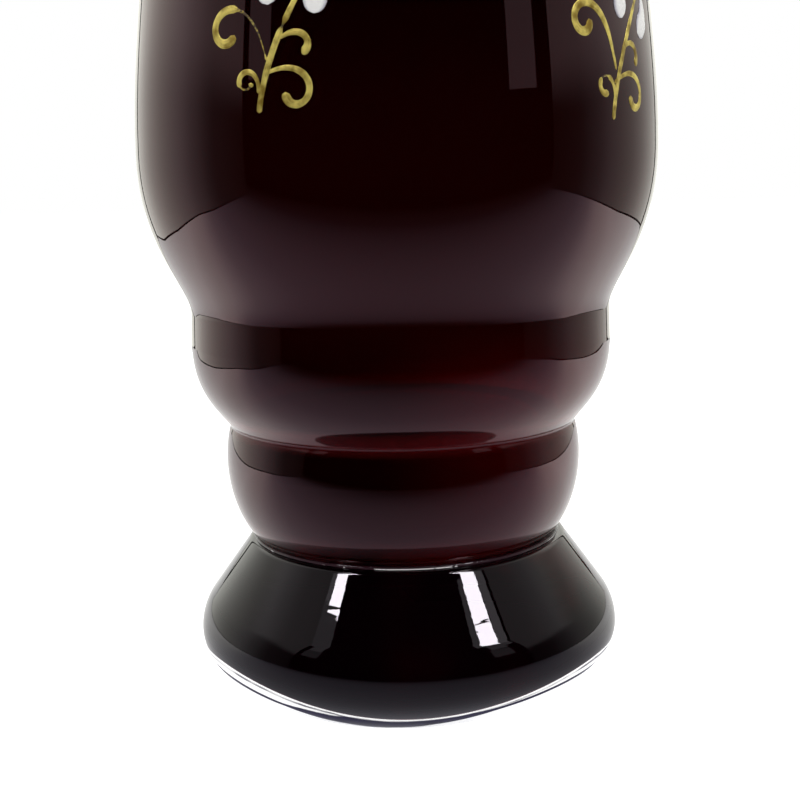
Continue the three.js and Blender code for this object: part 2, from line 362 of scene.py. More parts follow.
def makeEdge(name, look):
    # "belowTop" is in millimetres; "fromLine" is 0 in the middle of the violet line and 1 at its sides
    material, tree = newMaterial(name)
    belowTop, fromLine = attribute(tree, "belowTop"), attribute(tree, "fromLine")
    uneven = objectNoise(tree, *look["uneven"])
    ragged = maths(tree, "SUBTRACT", uneven, 0.5)
    line = band(tree, maths(tree, "MULTIPLY_ADD", ragged, look["greyRagged"], belowTop), *look["greyLine"])
    streaks = smoothStep(tree, objectNoise(tree, *look["streaks"]), *look["streaksFrom"])
    clear = blend(tree, maths(tree, "MULTIPLY", line, streaks), look["clear"], look["grey"])
    away = maths(tree, "MULTIPLY_ADD", ragged, look["violetRagged"], fromLine)
    below = smoothStep(tree, belowTop, *look["clearLine"])
    violet = maths(tree, "MULTIPLY", smoothStep(tree, away, *look["violetFrom"]), below)
    # Painted shade: a dark violet line across the white band
    colour = blend(tree, violet, clear, look["violet"])
    # Painted light: the white band glows, except on the violet and grey lines
    glow = blend(tree, maths(tree, "MAXIMUM", violet, line), look["clear"], look["noGlow"])
    rough = smoothStep(tree, uneven, *look["roughFrom"], *look["roughness"])
    return finishMaterial(material, look, colour, rough, uneven, {
        "Emission Color": glow, "Emission Strength": look["glow"], "Specular IOR Level": look["specular"],
    })


rubyGlass = makeGlass("rubyGlass", glassLook)
footGlass = makeGlass("footGlass", {
    **glassLook,
    "tint": (0.05, 0.003, 0.012, 1),
    "darkTint": (0.02, 0.002, 0.010, 1),
    # Painted light: the foot is painted redder on the right and darker on the left
    "ringShadeGlowTints": ((0.02, 0.002, 0.008, 1), (0.60, 0.004, 0.014, 1)),
    "glowTint": (0.03, 0.002, 0.010, 1),
    "clearness": 0.95,
    "absorbDensity": 1000,
    "ior": 1.47,
    "gloss": (1.0, 0.93, 0.97, 1),
    "roughness": (0.012, 0.06),
    "bump": 0.00002,
})
paintedGold = makePaintedGold("paintedGold", goldLook)
brightGold = makePaintedGold("brightGold", {**goldLook, "metal": 1.0, "roughness": (0.22, 0.36)})
whiteEnamel = makeEnamel("whiteEnamel", enamelLook)
yellowEnamel = makeEnamel("yellowEnamel", {
    **enamelLook, "body": (0.62, 0.34, 0.06, 1), "thin": (0.30, 0.14, 0.03, 1),
})
seamGlass = makeSeam("seamGlass", seamLook)
edgeGlass = makeEdge("edgeGlass", edgeLook)
print("materials made")


# Turned glass: an outline of (radius, height) in millimetres is turned round the upright axis

def outlineCurve(name, start, steps, resolution, closed=False):
    # A step is (end,) for a straight stretch or (handle, handle, end) for a bend
    curve = bpy.data.curves.new(name, "CURVE")
    curve.dimensions = "2D"
    curve.fill_mode = "NONE"
    spline = curve.splines.new("BEZIER")
    spline.bezier_points.add(len(steps) - (1 if closed else 0))
    spline.resolution_u = resolution
    points = spline.bezier_points
    asVector = lambda pair: Vector((pair[0] * mm, pair[1] * mm, 0))
    for point in points:
        point.handle_left_type = point.handle_right_type = "VECTOR"
    points[0].co = asVector(start)
    for i, step in enumerate(steps):
        here, there = points[i], points[(i + 1) % len(points)]
        if i + 1 < len(points):
            there.co = asVector(step[-1])
        if len(step) == 3:
            here.handle_right_type = there.handle_left_type = "FREE"
            here.handle_right = asVector(step[0])
            there.handle_left = asVector(step[1])
    spline.use_cyclic_u = closed
    return addObject(name, curve)


def arcStep(centre, radius, start, end):
    # A bend that is an arc round a centre, between two angles in degrees
    a, b = math.radians(start), math.radians(end)
    reach = 4 / 3 * math.tan((b - a) / 4) * radius
    at = lambda angle: (centre[0] + radius * math.cos(angle), centre[1] + radius * math.sin(angle))
    first, last = at(a), at(b)
    return (
        (first[0] - reach * math.sin(a), first[1] + reach * math.cos(a)),
        (last[0] + reach * math.sin(b), last[1] - reach * math.cos(b)),
        last,
    )


def turningTree():
    tree, given = geometryTree("turnedShape", {
        "Sides": "Int", "Flow Height": "Float", "Flow Scale": "Float", "Ripple Height": "Float",
        "Ripple Pitch": "Float", "Ripple Slowness": "Float", "Ripple From": "Float", "Ripple To": "Float",
        "Shift Below": "Float", "Shift Above": "Float", "Shift Height": "Float",
        "Seed": "Float", "Material": "Material",
    })
    # The outline is swept along a ring of this radius and moved in by as much
    hub, weldDistance = mm, 1e-6
    ring = put(tree, "GeometryNodeCurvePrimitiveCircle", {"Resolution": given["Sides"], "Radius": hub})
    outline = put(tree, "GeometryNodeTransform", {
        "Geometry": given["Geometry"], "Translation": (-hub, 0, 0), "Scale": (1, -1, 1),
    })
    turned = put(tree, "GeometryNodeCurveToMesh", {
        "Curve": ring.outputs["Curve"], "Profile Curve": outline.outputs[0],
    })
    welded = put(tree, "GeometryNodeMergeByDistance", {
        "Geometry": turned.outputs[0], "Distance": weldDistance,
    })

    place = put(tree, "GeometryNodeInputPosition").outputs[0]
    height = axisOf(tree, place, "Z")
    flow = put(tree, "ShaderNodeTexNoise", {
        "Vector": place, "W": given["Seed"], "Scale": given["Flow Scale"], "Detail": 1.0,
    }, noise_dimensions="4D").outputs["Fac"]
    flowShift = maths(tree, "MULTIPLY", maths(tree, "SUBTRACT", flow, 0.5), given["Flow Height"])
    # Ripples run round the shape: the noise changes fast with height and slowly round the axis
    slowness = put(tree, "ShaderNodeCombineXYZ", {axis: given["Ripple Slowness"] for axis in "XY"}).outputs[0]
    slow = put(tree, "ShaderNodeVectorMath", {0: place, 1: slowness}, operation="MULTIPLY").outputs[0]
    climb = maths(tree, "DIVIDE", height, given["Ripple Pitch"])
    rippled = put(tree, "ShaderNodeTexNoise", {
        "Vector": slow, "W": climb, "Scale": 1.0, "Detail": 2.0,
    }, noise_dimensions="4D").outputs["Fac"]
    fadeIn, fadeOut = 2 * mm, 1 * mm
    above = smoothStep(tree, height, given["Ripple From"], maths(tree, "ADD", given["Ripple From"], fadeIn))
    below = smoothStep(tree, height, given["Ripple To"], maths(tree, "SUBTRACT", given["Ripple To"], fadeOut))
    depth = maths(tree, "MULTIPLY", given["Ripple Height"], maths(tree, "MULTIPLY", above, below))
    rippleShift = maths(tree, "MULTIPLY", maths(tree, "SUBTRACT", rippled, 0.5), depth)
    outward = put(tree, "GeometryNodeInputNormal").outputs[0]
    swell = put(tree, "ShaderNodeVectorMath", {
        0: outward, "Scale": maths(tree, "ADD", flowShift, rippleShift),
    }, operation="SCALE").outputs[0]
    # The low part may stand to one side of the rest
    aside = smoothStep(tree, height, 0.0, given["Shift Height"], given["Shift Below"], given["Shift Above"])
    sideways = put(tree, "ShaderNodeCombineXYZ", {"X": aside}).outputs[0]
    shift = put(tree, "ShaderNodeVectorMath", {0: swell, 1: sideways}, operation="ADD").outputs[0]
    moved = put(tree, "GeometryNodeSetPosition", {"Geometry": welded.outputs[0], "Offset": shift})
    smooth = put(tree, "GeometryNodeSetShadeSmooth", {"Geometry": moved.outputs[0]})
    endTree(tree, smooth.outputs[0], given["Material"])
    return tree


def faceOutward(piece):
    # On a closed shape a negative volume means that the faces point inwards
    mesh = piece.data
    volume = sum(
        mesh.vertices[face.vertices[0]].co.dot(
            mesh.vertices[face.vertices[i]].co.cross(mesh.vertices[face.vertices[i + 1]].co))
        for face in mesh.polygons for i in range(1, len(face.vertices) - 1))
    if volume < 0:
        mesh.flip_normals()
    print("  ", piece.name, len(mesh.polygons), "faces,", round(abs(volume) / 6 / mm ** 3), "cubic mm")


turning = turningTree()
plainTurning = {
    "Sides": 160, "Flow Height": 0.0, "Flow Scale": 26.0, "Ripple Height": 0.0, "Ripple Pitch": mm,
    "Ripple Slowness": 30.0, "Ripple From": 1.0, "Ripple To": 2.0,
    "Shift Below": 0.0, "Shift Above": 0.0, "Shift Height": mm, "Seed": 1.0,
}


def turnedPiece(name, outline, material, node, slot, **changes):
    piece = solidFrom(outline, turning, {**plainTurning, "Material": material, **changes}, name)
    faceOutward(piece)
    settle(piece, [node])
    return piece


vesselSize = {
    "base": (24.5, 24.9),
    "baseRound": 0.3,
    "lowerRing": (28.5, 37.4),
    "lowerCrease": (27.6, 43),
    "upperRing": (33.3, 56),
    "upperCrease": (33.15, 61.1),
    "bellyHeight": 85.3,
    "neck": (31, 182),
    "lipThickness": 2.4,
    "lipRadius": 37.5,
    "wall": 3.2,
    "cavityFloor": (16, 28.5),
    # Handles of the bends, out and up from those places
    "baseRim": ((-0.1, 0), (-0.1, 0.1), (0, 0.3)),
    "overBase": (1.4, 1.5),
    "underRing": (0, -6.4),
    "overRing": (0, 2),
    "intoCrease": ((0.55, -1.3), (0.2, -0.45)),
    "creaseTurn": ((0, -0.05), (0.15, 0.15), (0.45, 0.45)),
    "overCrease": (2.3, 3.0),
    "underUpperRing": (0, -7.4),
    "overUpperCrease": (0.05, 3.9),
    "aroundBelly": ((0, -14.1), (0, 25.7)),
    "aroundNeck": ((0, -32), (0, 13)),
    "underLip": ((-2.9, -7), (-3.4, -6.6)),
    "aroundCreaseInside": ((0.6, -1.2), (2, 3.4)),
    "intoFloor": ((0, 2.2), (4.5, 0)),
}


def shifted(place, move):
    return place[0] + move[0], place[1] + move[1]


def vesselOutline(size):
    base, ring, crease, upper, waist, neck = (size[place] for place in (
        "base", "lowerRing", "lowerCrease", "upperRing", "upperCrease", "neck"))
    belly = (bellyRadius, size["bellyHeight"])
    underBelly, overBelly = size["aroundBelly"]
    underNeck, overNeck = size["aroundNeck"]
    half = size["lipThickness"] / 2
    lip = (size["lipRadius"] - half, lipTop - half)
    outside = [
        (shifted(base, (-size["baseRound"], 0)),),
        [shifted(base, move) for move in size["baseRim"]],
        (shifted(base, size["overBase"]), shifted(ring, size["underRing"]), ring),
        (shifted(ring, size["overRing"]), *(shifted(crease, move) for move in size["intoCrease"])),
        [shifted(crease, move) for move in size["creaseTurn"]],
        (shifted(crease, size["overCrease"]), shifted(upper, size["underUpperRing"]), upper),
        (waist,),
        (shifted(waist, size["overUpperCrease"]), shifted(belly, underBelly), belly),
        (shifted(belly, overBelly), shifted(neck, underNeck), neck),
        (shifted(neck, overNeck), shifted((lip[0], lipTop), size["underLip"][0]), (lip[0] + half, lip[1])),
        arcStep(lip, half, 0, 90),
        arcStep(lip, half, 90, 180),
    ]
    ringIn, creaseIn, upperIn, waistIn, bellyIn, neckIn = (
        shifted(place, (-size["wall"], 0)) for place in (ring, crease, upper, waist, belly, neck))
    underCrease, overCrease = size["aroundCreaseInside"]
    floor = size["cavityFloor"]
    inside = [
        (shifted((lip[0] - half, lipTop), size["underLip"][1]), shifted(neckIn, overNeck), neckIn),
        (shifted(neckIn, underNeck), shifted(bellyIn, overBelly), bellyIn),
        (shifted(bellyIn, underBelly), (waistIn[0], waistIn[1] + size["overUpperCrease"][1]), waistIn),
        (upperIn,),
        (shifted(upperIn, size["underUpperRing"]), shifted(creaseIn, overCrease), creaseIn),
        (shifted(creaseIn, underCrease), shifted(ringIn, size["overRing"]), ringIn),
        (shifted((ringIn[0], floor[1]), size["intoFloor"][0]), shifted(floor, size["intoFloor"][1]), floor),
        ((0, floor[1]),),
    ]
    return outlineCurve("vesselOutline", (0, base[1]), outside + inside, resolution=22)


vesselPiece = turnedPiece(
    "vesselBody", vesselOutline(vesselSize), rubyGlass, "vessel", "ruby_glass",
    **{"Flow Height": 0.03 * mm, "Seed": 3.0})

footSize = {
    "hollow": (19, 1.6),
    "restRadius": 24.8,
    "underHandles": (4.4, 2.3, 4.0),
    "widestHeight": 9.6,
    "shoulderRadius": 9.0,
    "coneAngle": 36.1,
    "top": 24.5,
    "topRound": 1.6,
    # The resting ring stands aside from the rest, less and less up to this height
    "groundAside": -0.8,
    "shiftHeight": 9,
    "sides": 220,
}
groundOffset = footOffset + footSize["groundAside"]


def underside(size):
    # The bend from the resting ring up to the widest place
    out, up, rise = size["underHandles"]
    rest, widest = (size["restRadius"], 0), (footRadius, size["widestHeight"])
    return rest, (rest[0] + out, up), (footRadius, widest[1] - rise), widest


def footOutline(size):
    rest, firstHandle, secondHandle, widest = underside(size)
    angle = size["coneAngle"]
    shoulder = (footRadius - size["shoulderRadius"], size["widestHeight"])
    rim = arcStep(shoulder, size["shoulderRadius"], 0, angle)
    # The cone is a straight line; the rounded top edge touches it
    steep, flat = math.cos(math.radians(angle)), math.sin(math.radians(angle))
    reach = rim[-1][0] * steep + rim[-1][1] * flat
    edgeHeight = size["top"] - size["topRound"]
    edgeRadius = (reach - size["topRound"] - edgeHeight * flat) / steep
    topEdge = arcStep((edgeRadius, edgeHeight), size["topRound"], angle, 90)
    coneEnd = (edgeRadius + size["topRound"] * steep, edgeHeight + size["topRound"] * flat)
    onCone = lambda share: tuple(a + (b - a) * share for a, b in zip(rim[-1], coneEnd))
    hollow, depth = size["hollow"]
    steps = [
        ((hollow / 3, depth), (hollow * 2 / 3, depth), (hollow, 0)),
        (rest,),
        (firstHandle, secondHandle, widest),
        rim,
        (onCone(1 / 3), onCone(2 / 3), coneEnd),
        topEdge,
        ((0, size["top"]),),
    ]
    return outlineCurve("footOutline", (0, depth), steps, resolution=60)


turnedPiece("footBody", footOutline(footSize), footGlass, "foot", "foot_glass", **{
    "Sides": footSize["sides"], "Flow Height": 0.06 * mm, "Flow Scale": 40.0, "Seed": 8.0,
    "Ripple Height": 0.012 * mm, "Ripple Pitch": 1.1 * mm, "Ripple Slowness": 60.0,
    "Ripple From": 12 * mm, "Ripple To": 24.2 * mm,
    "Shift Below": groundOffset * mm, "Shift Above": footOffset * mm,
    "Shift Height": footSize["shiftHeight"] * mm,
})

# The casing is ground through along the foot's lower edge, where clear glass shows in a wavy band that is
# painted white and glows as painted light; the violet line in it is painted shade.
# Heights are a middle and a swing round the foot; the violet line is widest where it is lowest.
edgeSize = {
    "proud": 0.06,
    "sunk": 0.25,
    "top": (6.2, -2.3),
    "violetLine": (4.4, -1.9),
    "violetHalfWidth": (0.4, 1.15),
    "violetTurn": 6,
    "waves": 3,
    "firstHeight": 0.02,
    "lowest": 0.01,
    "slopeStep": 0.01,
    "halvings": 30,
    "sides": 240,
    "rows": 28,
}


def makeFootEdge(size):
    a, b, c, d = (Vector(point) for point in underside(footSize))
    along = lambda t: a * (1 - t) ** 3 + b * 3 * (1 - t) ** 2 * t + c * 3 * (1 - t) * t ** 2 + d * t ** 3

    def onUnderside(height):
        # The place at a height and the direction away from the glass there
        low, high = 0.0, 1.0
        for _ in range(size["halvings"]):
            middle = (low + high) / 2
            low, high = (middle, high) if along(middle).y < height else (low, middle)
        t, step = (low + high) / 2, size["slopeStep"]
        direction = (along(min(t + step, 1)) - along(max(t - step, 0))).normalized()
        return along(t), Vector((direction.y, -direction.x))

    rows, sides, first = size["rows"], size["sides"], size["firstHeight"]
    verts, faces, belowTop, fromLine = [], [], [], []
    for side in range(sides):
        angle = 2 * math.pi * side / sides
        wave = math.cos(size["waves"] * angle)
        lineWave = math.cos(size["waves"] * (angle + math.radians(size["violetTurn"])))
        top = size["top"][0] + size["top"][1] * wave
        lineHeight = size["violetLine"][0] + size["violetLine"][1] * lineWave
        halfWidth = size["violetHalfWidth"][0] + size["violetHalfWidth"][1] * max(lineWave, 0)
        outer = [first + (top - first) * row / (rows - 1) for row in range(rows)]
        # Out along the surface and back a little below it
        section = [(h, size["proud"]) for h in outer] + [(h, -size["sunk"]) for h in reversed(outer)]
        for height, clearance in section:
            point, away = onUnderside(height)
            radius = point.x + away.x * clearance
            z = max(point.y + away.y * clearance, size["lowest"])
            share = min(max(height / footSize["shiftHeight"], 0), 1)
            aside = footOffset + footSize["groundAside"] * (1 - share * share * (3 - 2 * share))
            verts.append((
                (radius * math.sin(angle) + aside) * mm, -radius * math.cos(angle) * mm, z * mm,
            ))
            belowTop.append(top - height)
            fromLine.append(abs(height - lineHeight) / halfWidth)
    count = 2 * rows
    for side in range(sides):
        here, there = side * count, (side + 1) % sides * count
        for i in range(count):
            j = (i + 1) % count
            faces.append((here + i, there + i, there + j, here + j))
    mesh = bpy.data.meshes.new("footEdge")
    mesh.from_pydata(verts, [], faces)
    for name, values in (("belowTop", belowTop), ("fromLine", fromLine)):
        mesh.attributes.new(name, "FLOAT", "POINT").data.foreach_set("value", values)
    mesh.shade_smooth()
    mesh.materials.append(edgeGlass)
    piece = addObject("footEdge", mesh)
    faceOutward(piece)
    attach(piece, "root")


makeFootEdge(edgeSize)

seamSize = {"low": 24.44, "high": 24.98, "radius": 24.85, "sides": 300}


def seamOutline(size):
    middle = (size["low"] + size["high"]) / 2
    half = (size["high"] - size["low"]) / 2
    centre = (size["radius"] - half, middle)
    steps = [
        ((size["radius"] - half, size["low"]),),
        arcStep(centre, half, -90, 90),
        ((0, size["high"]),),
    ]
    return outlineCurve("seamOutline", (0, size["low"]), steps, resolution=10)


turnedPiece("joinSeam", seamOutline(seamSize), seamGlass, "join_wafer", "seam_glass", **{
    "Sides": seamSize["sides"], "Flow Height": 0.25 * mm, "Flow Scale": 420.0, "Seed": 5.0,
    "Shift Below": footOffset / 2 * mm, "Shift Above": footOffset / 2 * mm,
})

gildingSize = {
    "clearance": 0.04,
    "thickness": 0.05,
    "depth": 4.2,
    # Outside and inside: the flare's lean over the band's depth, and the handles of its bends
    "lean": (2.45, 2.2),
    "lowBends": ((1.0, 1.6), (1.0, 1.8)),
    "topBends": ((-0.7, -1.0), (-0.5, -1.0)),
}


def gildingOutline(size):
    half = vesselSize["lipThickness"] / 2
    x, y = middle = (vesselSize["lipRadius"] - half, lipTop - half)
    inner = half + size["clearance"]
    outer = inner + size["thickness"]
    outFoot = (x + inner - size["lean"][0], y - size["depth"])
    inFoot = (x - inner - size["lean"][1], y - size["depth"])
    lowOut, lowIn = shifted(outFoot, size["lowBends"][0]), shifted(inFoot, size["lowBends"][1])
    topOut, topIn = size["topBends"]
    steps = [
        (shifted(outFoot, (size["thickness"], 0)),),
        (lowOut, shifted((x + outer, y), topOut), (x + outer, y)),
        arcStep(middle, outer, 0, 90),
        arcStep(middle, outer, 90, 180),
        (shifted((x - outer, y), topIn), lowIn, shifted(inFoot, (-size["thickness"], 0))),
        (inFoot,),
        (lowIn, shifted((x - inner, y), topIn), (x - inner, y)),
        arcStep(middle, inner, 180, 90),
        arcStep(middle, inner, 90, 0),
        (shifted((x + inner, y), topOut), lowOut, outFoot),
    ]
    return outlineCurve("gildingOutline", outFoot, steps, resolution=8, closed=True)


turnedPiece("lipGilding", gildingOutline(gildingSize), brightGold, "lip_gilding", "bright_gold")
print("glass turned")


# Brush work: each vertex of the source is one stroke, and its attributes say how the brush went.
# The heading turns from the start by turn * share ** wind, and the path is laid on the glass.

strokeFields = (
    "x", "y", "heading", "length", "turn", "wind", "rootWidth", "fullWidth", "tipWidth", "swellBy",
    "wornFrom", "wornTo",
)
brushSize = {
    "rayLength": 0.2,
    "tipFrom": (0.72, 0.97),
    "seedStep": 31.7,
    "wobbleScale": 0.9,
    # A worn stretch loses this share of its width, and begins and ends softly
    "wornLoss": 0.68,
    "wornSoft": 0.03,
    "leastEnd": 0.002,
    "sectionSides": 18,
}


def brushTree(size):
    tree, given = geometryTree("brushStrokes", {
        "Glass": "Object", "Angle": "Float", "Foot Height": "Float", "Steps": "Int", "Relief": "Float",
        "Wobble": "Float", "Seed": "Float", "Material": "Material",
    })
    plus = lambda first, second: maths(tree, "ADD", first, second)
    minus = lambda first, second: maths(tree, "SUBTRACT", first, second)
    times = lambda first, second: maths(tree, "MULTIPLY", first, second)
    over = lambda first, second: maths(tree, "DIVIDE", first, second)
    made = lambda kind, sockets, **settings: put(tree, kind, sockets, **settings).outputs[0]
    named = lambda name, kind="FLOAT": made("GeometryNodeInputNamedAttribute", {"Name": name}, data_type=kind)

    def keep(geometry, kind="FLOAT", **fields):
        # Stores fields on the points under their names
        for name, value in fields.items():
            geometry = made("GeometryNodeStoreNamedAttribute", {
                "Geometry": geometry, "Name": name, "Value": value,
            }, data_type=kind, domain="POINT")
        return geometry

    line = made("GeometryNodeCurvePrimitiveLine", {"End": (1, 0, 0)})
    dots = made("GeometryNodeResampleCurve", {"Curve": line, "Count": given["Steps"]})
    strokes = made("GeometryNodeInstanceOnPoints", {"Points": given["Geometry"], "Instance": dots})
    paths = made("GeometryNodeRealizeInstances", {"Geometry": strokes})
    factor = put(tree, "GeometryNodeSplineParameter").outputs["Factor"]
    number = put(tree, "GeometryNodeCurveOfPoint").outputs["Curve Index"]
    kept = keep(paths, share=factor, strokeNumber=number)
    share, length = named("share"), named("length")

    # The path in millimetres on the unrolled glass, added up step by step
    gaps = minus(given["Steps"], 1.0)
    midShare = maths(tree, "MINIMUM", plus(share, over(0.5, gaps)), 1.0)
    bent = times(named("turn"), maths(tree, "POWER", midShare, named("wind")))
    direction = maths(tree, "RADIANS", plus(named("heading"), bent))

    def travelled(operation, start):
        leg = times(maths(tree, operation, direction), over(length, gaps))
        total = put(tree, "GeometryNodeAccumulateField", {
            "Value": leg, "Group ID": number,
        }, data_type="FLOAT").outputs["Trailing"]
        return plus(total, named(start))

    across = times(travelled("COSINE", "x"), mm)
    height = maths(tree, "MULTIPLY_ADD", travelled("SINE", "y"), mm, given["Foot Height"])

    # One ray finds the radius at that height, a second one the place on the glass
    glass = put(tree, "GeometryNodeObjectInfo", {"Object": given["Glass"]}).outputs["Geometry"]
    far = size["rayLength"]

    def castIn(angle):
        sine, cosine = maths(tree, "SINE", angle), maths(tree, "COSINE", angle)
        origin = made("ShaderNodeCombineXYZ", {"X": times(sine, far), "Y": times(cosine, -far), "Z": height})
        inward = made("ShaderNodeCombineXYZ", {"X": times(sine, -1.0), "Y": cosine})
        return put(tree, "GeometryNodeRaycast", {
            "Target Geometry": glass, "Source Position": origin, "Ray Direction": inward, "Ray Length": far,
        }).outputs

    radius = minus(far, castIn(given["Angle"])["Hit Distance"])
    hit = castIn(plus(given["Angle"], over(across, radius)))
    facing = keep(kept, "FLOAT_VECTOR", facing=hit["Hit Normal"])
    laid = made("GeometryNodeSetPosition", {"Geometry": facing, "Position": hit["Hit Position"]})
    away = named("facing", "FLOAT_VECTOR")
    turned = made("GeometryNodeSetCurveNormal", {"Curve": laid, "Normal": away}, mode="FREE")

    # Width: from the root to the full width, then to the tip's, with round ends
    swelling = smoothStep(tree, share, 0.0, named("swellBy"))
    thinning = smoothStep(tree, share, *size["tipFrom"])
    width = named("rootWidth")
    for progress, name in ((swelling, "fullWidth"), (thinning, "tipWidth")):
        width = made("ShaderNodeMix", {0: progress, 2: width, 3: named(name)})
    ownSeed = maths(tree, "MULTIPLY_ADD", number, size["seedStep"], given["Seed"])
    unsteady = put(tree, "ShaderNodeTexNoise", {
        "W": maths(tree, "MULTIPLY_ADD", share, length, ownSeed), "Scale": size["wobbleScale"], "Detail": 2.0,
    }, noise_dimensions="1D").outputs["Fac"]
    width = times(width, maths(tree, "MULTIPLY_ADD", minus(unsteady, 0.5), given["Wobble"], 1.0))
    soft = size["wornSoft"]
    begun = smoothStep(tree, minus(share, named("wornFrom")), -soft, soft)
    ended = smoothStep(tree, minus(share, named("wornTo")), soft, -soft)
    wear = times(begun, ended)
    half = times(times(width, maths(tree, "MULTIPLY_ADD", wear, -size["wornLoss"], 1.0)), 0.5)

    def roundEnd(distance):
        missing = maths(tree, "MAXIMUM", minus(1.0, over(distance, half)), 0.0)
        left = minus(1.0, times(missing, missing))
        return maths(tree, "SQRT", maths(tree, "MAXIMUM", left, size["leastEnd"]))

    fromStart = times(share, length)
    rounded = times(half, times(roundEnd(fromStart), roundEnd(minus(length, fromStart))))
    marked = keep(turned, along=times(fromStart, mm), worn=wear)

    # The section is a low oval, half of it sunk in the glass
    oval = made("GeometryNodeCurvePrimitiveCircle", {"Resolution": size["sectionSides"], "Radius": 1.0})
    sideShare = maths(tree, "SINE", times(factor, 2 * math.pi))
    section = keep(oval, around=sideShare, rim=maths(tree, "ABSOLUTE", sideShare))
    flat = made("ShaderNodeCombineXYZ", {"X": given["Relief"], "Y": 1.0, "Z": 1.0})
    flattened = made("GeometryNodeTransform", {"Geometry": section, "Scale": flat})
    body = made("GeometryNodeCurveToMesh", {
        "Curve": marked, "Profile Curve": flattened, "Scale": times(rounded, mm), "Fill Caps": True,
    })
    endTree(tree, made("GeometryNodeSetShadeSmooth", {"Geometry": body}), given["Material"])
    return tree


brushing = brushTree(brushSize)

# Kinds of brush work: slot, material, relief, wobble and steps along a stroke
brushKinds = {
    "gold": ("painted_gold", paintedGold, 0.14, 0.18, 64),
    "petal": ("white_enamel", whiteEnamel, 0.2, 0.12, 36),
    "heart": ("yellow_enamel", yellowEnamel, 0.45, 0.1, 24),
    "bud": ("white_enamel", whiteEnamel, 0.25, 0.12, 30),
}


def strokeSource(strokes):
    mesh = bpy.data.meshes.new("strokeStarts")
    mesh.from_pydata([(0, 0, i * mm) for i in range(len(strokes))], [], [])
    for field in strokeFields:
        values = mesh.attributes.new(field, "FLOAT", "POINT")
        values.data.foreach_set("value", [float(stroke[field]) for stroke in strokes])
    return addObject("strokeStarts", mesh)


def paint(kind, name, node, place, strokes):
    slot, material, relief, wobble, steps = brushKinds[kind]
    piece = solidFrom(strokeSource(strokes), brushing, {
        "Glass": vesselPiece, "Angle": math.radians(place["angle"]), "Foot Height": place["footHeight"] * mm,
        "Steps": steps, "Relief": relief, "Wobble": wobble, "Seed": place["seed"] + len(name),
        "Material": material,
    }, name)
    settle(piece, [node])


def stroke(x, y, heading, length, turn, wind, root=0.5, full=0.9, tip=1.25, swellBy=0.5, worn=(2, 3)):
    return dict(zip(strokeFields, (x, y, heading, length, turn, wind, root, full, tip, swellBy, *worn)))


# Stem, lower curl, upper curl, tendril and small curl of a spray, across and up in millimetres
leftScroll = [
    stroke(-0.16, 0.02, 86.6, 15.8, -27, 0.6, 0.85, 0.95, 0.75, worn=(0.695, 0.765)),
    stroke(0.46, 4.9, 19.5, 13.6, -295, 1.94),
    stroke(2.81, 9.4, 26.8, 6.4, -194, 1.91),
    stroke(1.0, 6.64, 107.4, 18.5, 325, 2.26, 0.5, 1.1, 1.3, worn=(0.02, 0.47)),
    stroke(-0.27, 2.57, 85.5, 8.7, 362, 1.58, 0.5, 0.8, 1.0, worn=(0.72, 0.95)),
]
rightScroll = [
    stroke(-0.37, 0.07, 85.4, 19.4, -36, 0.6, 0.85, 0.9, 0.6),
    stroke(0.08, 5.06, 26.1, 14.8, -306, 2.11),
    stroke(3.51, 10.0, 37.7, 5.9, -183, 1.31),
    stroke(0.79, 6.75, 104.2, 19.9, 370, 2.77, 0.55, 1.15, 1.35),
    stroke(0.08, 2.63, 84.6, 8.8, 320, 1.69, 0.5, 0.8, 1.0, worn=(0.42, 0.62)),
]
usualScroll = [
    stroke(0, 0, 86, 16.7, -28, 0.8, 0.85, 0.95, 0.6),
    stroke(0.4, 4.6, 23, 14.1, -300, 2),
    stroke(2.9, 9.5, 32, 6.2, -186, 1.6),
    stroke(0.8, 6.5, 106, 19.1, 348, 2.5, 0.5, 1.1, 1.3),
    stroke(0.1, 2.6, 86, 8.6, 342, 1.7, 0.5, 0.8, 1.0),
]
usualShoot = [
    stroke(8.3, 28.8, 82, 13, 18, 1, 0.8, 0.9, 0.6),
    stroke(8.8, 31.2, 50, 11, -290, 1.9),
    stroke(9.1, 33.4, 118, 12.5, 300, 2.1),
]
budSize = {
    "tip": (7.95, 42.1),
    "turns": ((66, 14), (100, 0), (134, -14)),
    "length": 5,
    "widths": (0.6, 2.1, 2.0),
    "swellBy": 0.75,
}

# Petals are (heading from the heart, bend, length)
laterPetals = ((84, 8, 6.6), (132, 20, 6.6))
usualFlower = {
    "centre": (7.3, 19.7),
    "petals": ((182, 96, 6.6), (296, -32, 6.6), (345, -20, 6.6), (35, -12, 6.6), *laterPetals),
}
leftFlower = {
    "centre": (7.6, 19.9),
    "petals": ((185, 92, 8.7), (274, -12, 6.05), (335, -16, 6.6), (30, -12, 6.6), *laterPetals),
}
rightFlower = {
    "centre": (9.0, 19.9),
    "petals": ((176, 120, 8.9), (305, -104, 7.6), (352, 0, 6.6), (30, -12, 6.6), *laterPetals),
}
petalSize = {"root": 1.6, "rootWidth": 0.6, "width": 3.3, "tipShare": 0.95, "swellBy": 0.75}
heartRadius = 0.9

sprayPlaces = [
    {"angle": -26.0, "footHeight": 90.0, "seed": 1.0, "scroll": leftScroll, "flower": leftFlower},
    {"angle": 48.0, "footHeight": 88.5, "seed": 2.0, "scroll": rightScroll, "flower": rightFlower},
]
for seed, (angle, footHeight) in enumerate(((118.0, 89.2), (184.0, 89.8), (250.0, 88.9)), start=3):
    sprayPlaces.append({
        "angle": angle, "footHeight": footHeight, "seed": float(seed),
        "scroll": usualScroll, "flower": usualFlower,
    })


def petalStroke(centre, heading, turn, length):
    out = math.radians(heading)
    x = centre[0] + petalSize["root"] * math.cos(out)
    y = centre[1] + petalSize["root"] * math.sin(out)
    full = petalSize["width"]
    tip = full * petalSize["tipShare"]
    return stroke(x, y, heading, length, turn, 1, petalSize["rootWidth"], full, tip, petalSize["swellBy"])


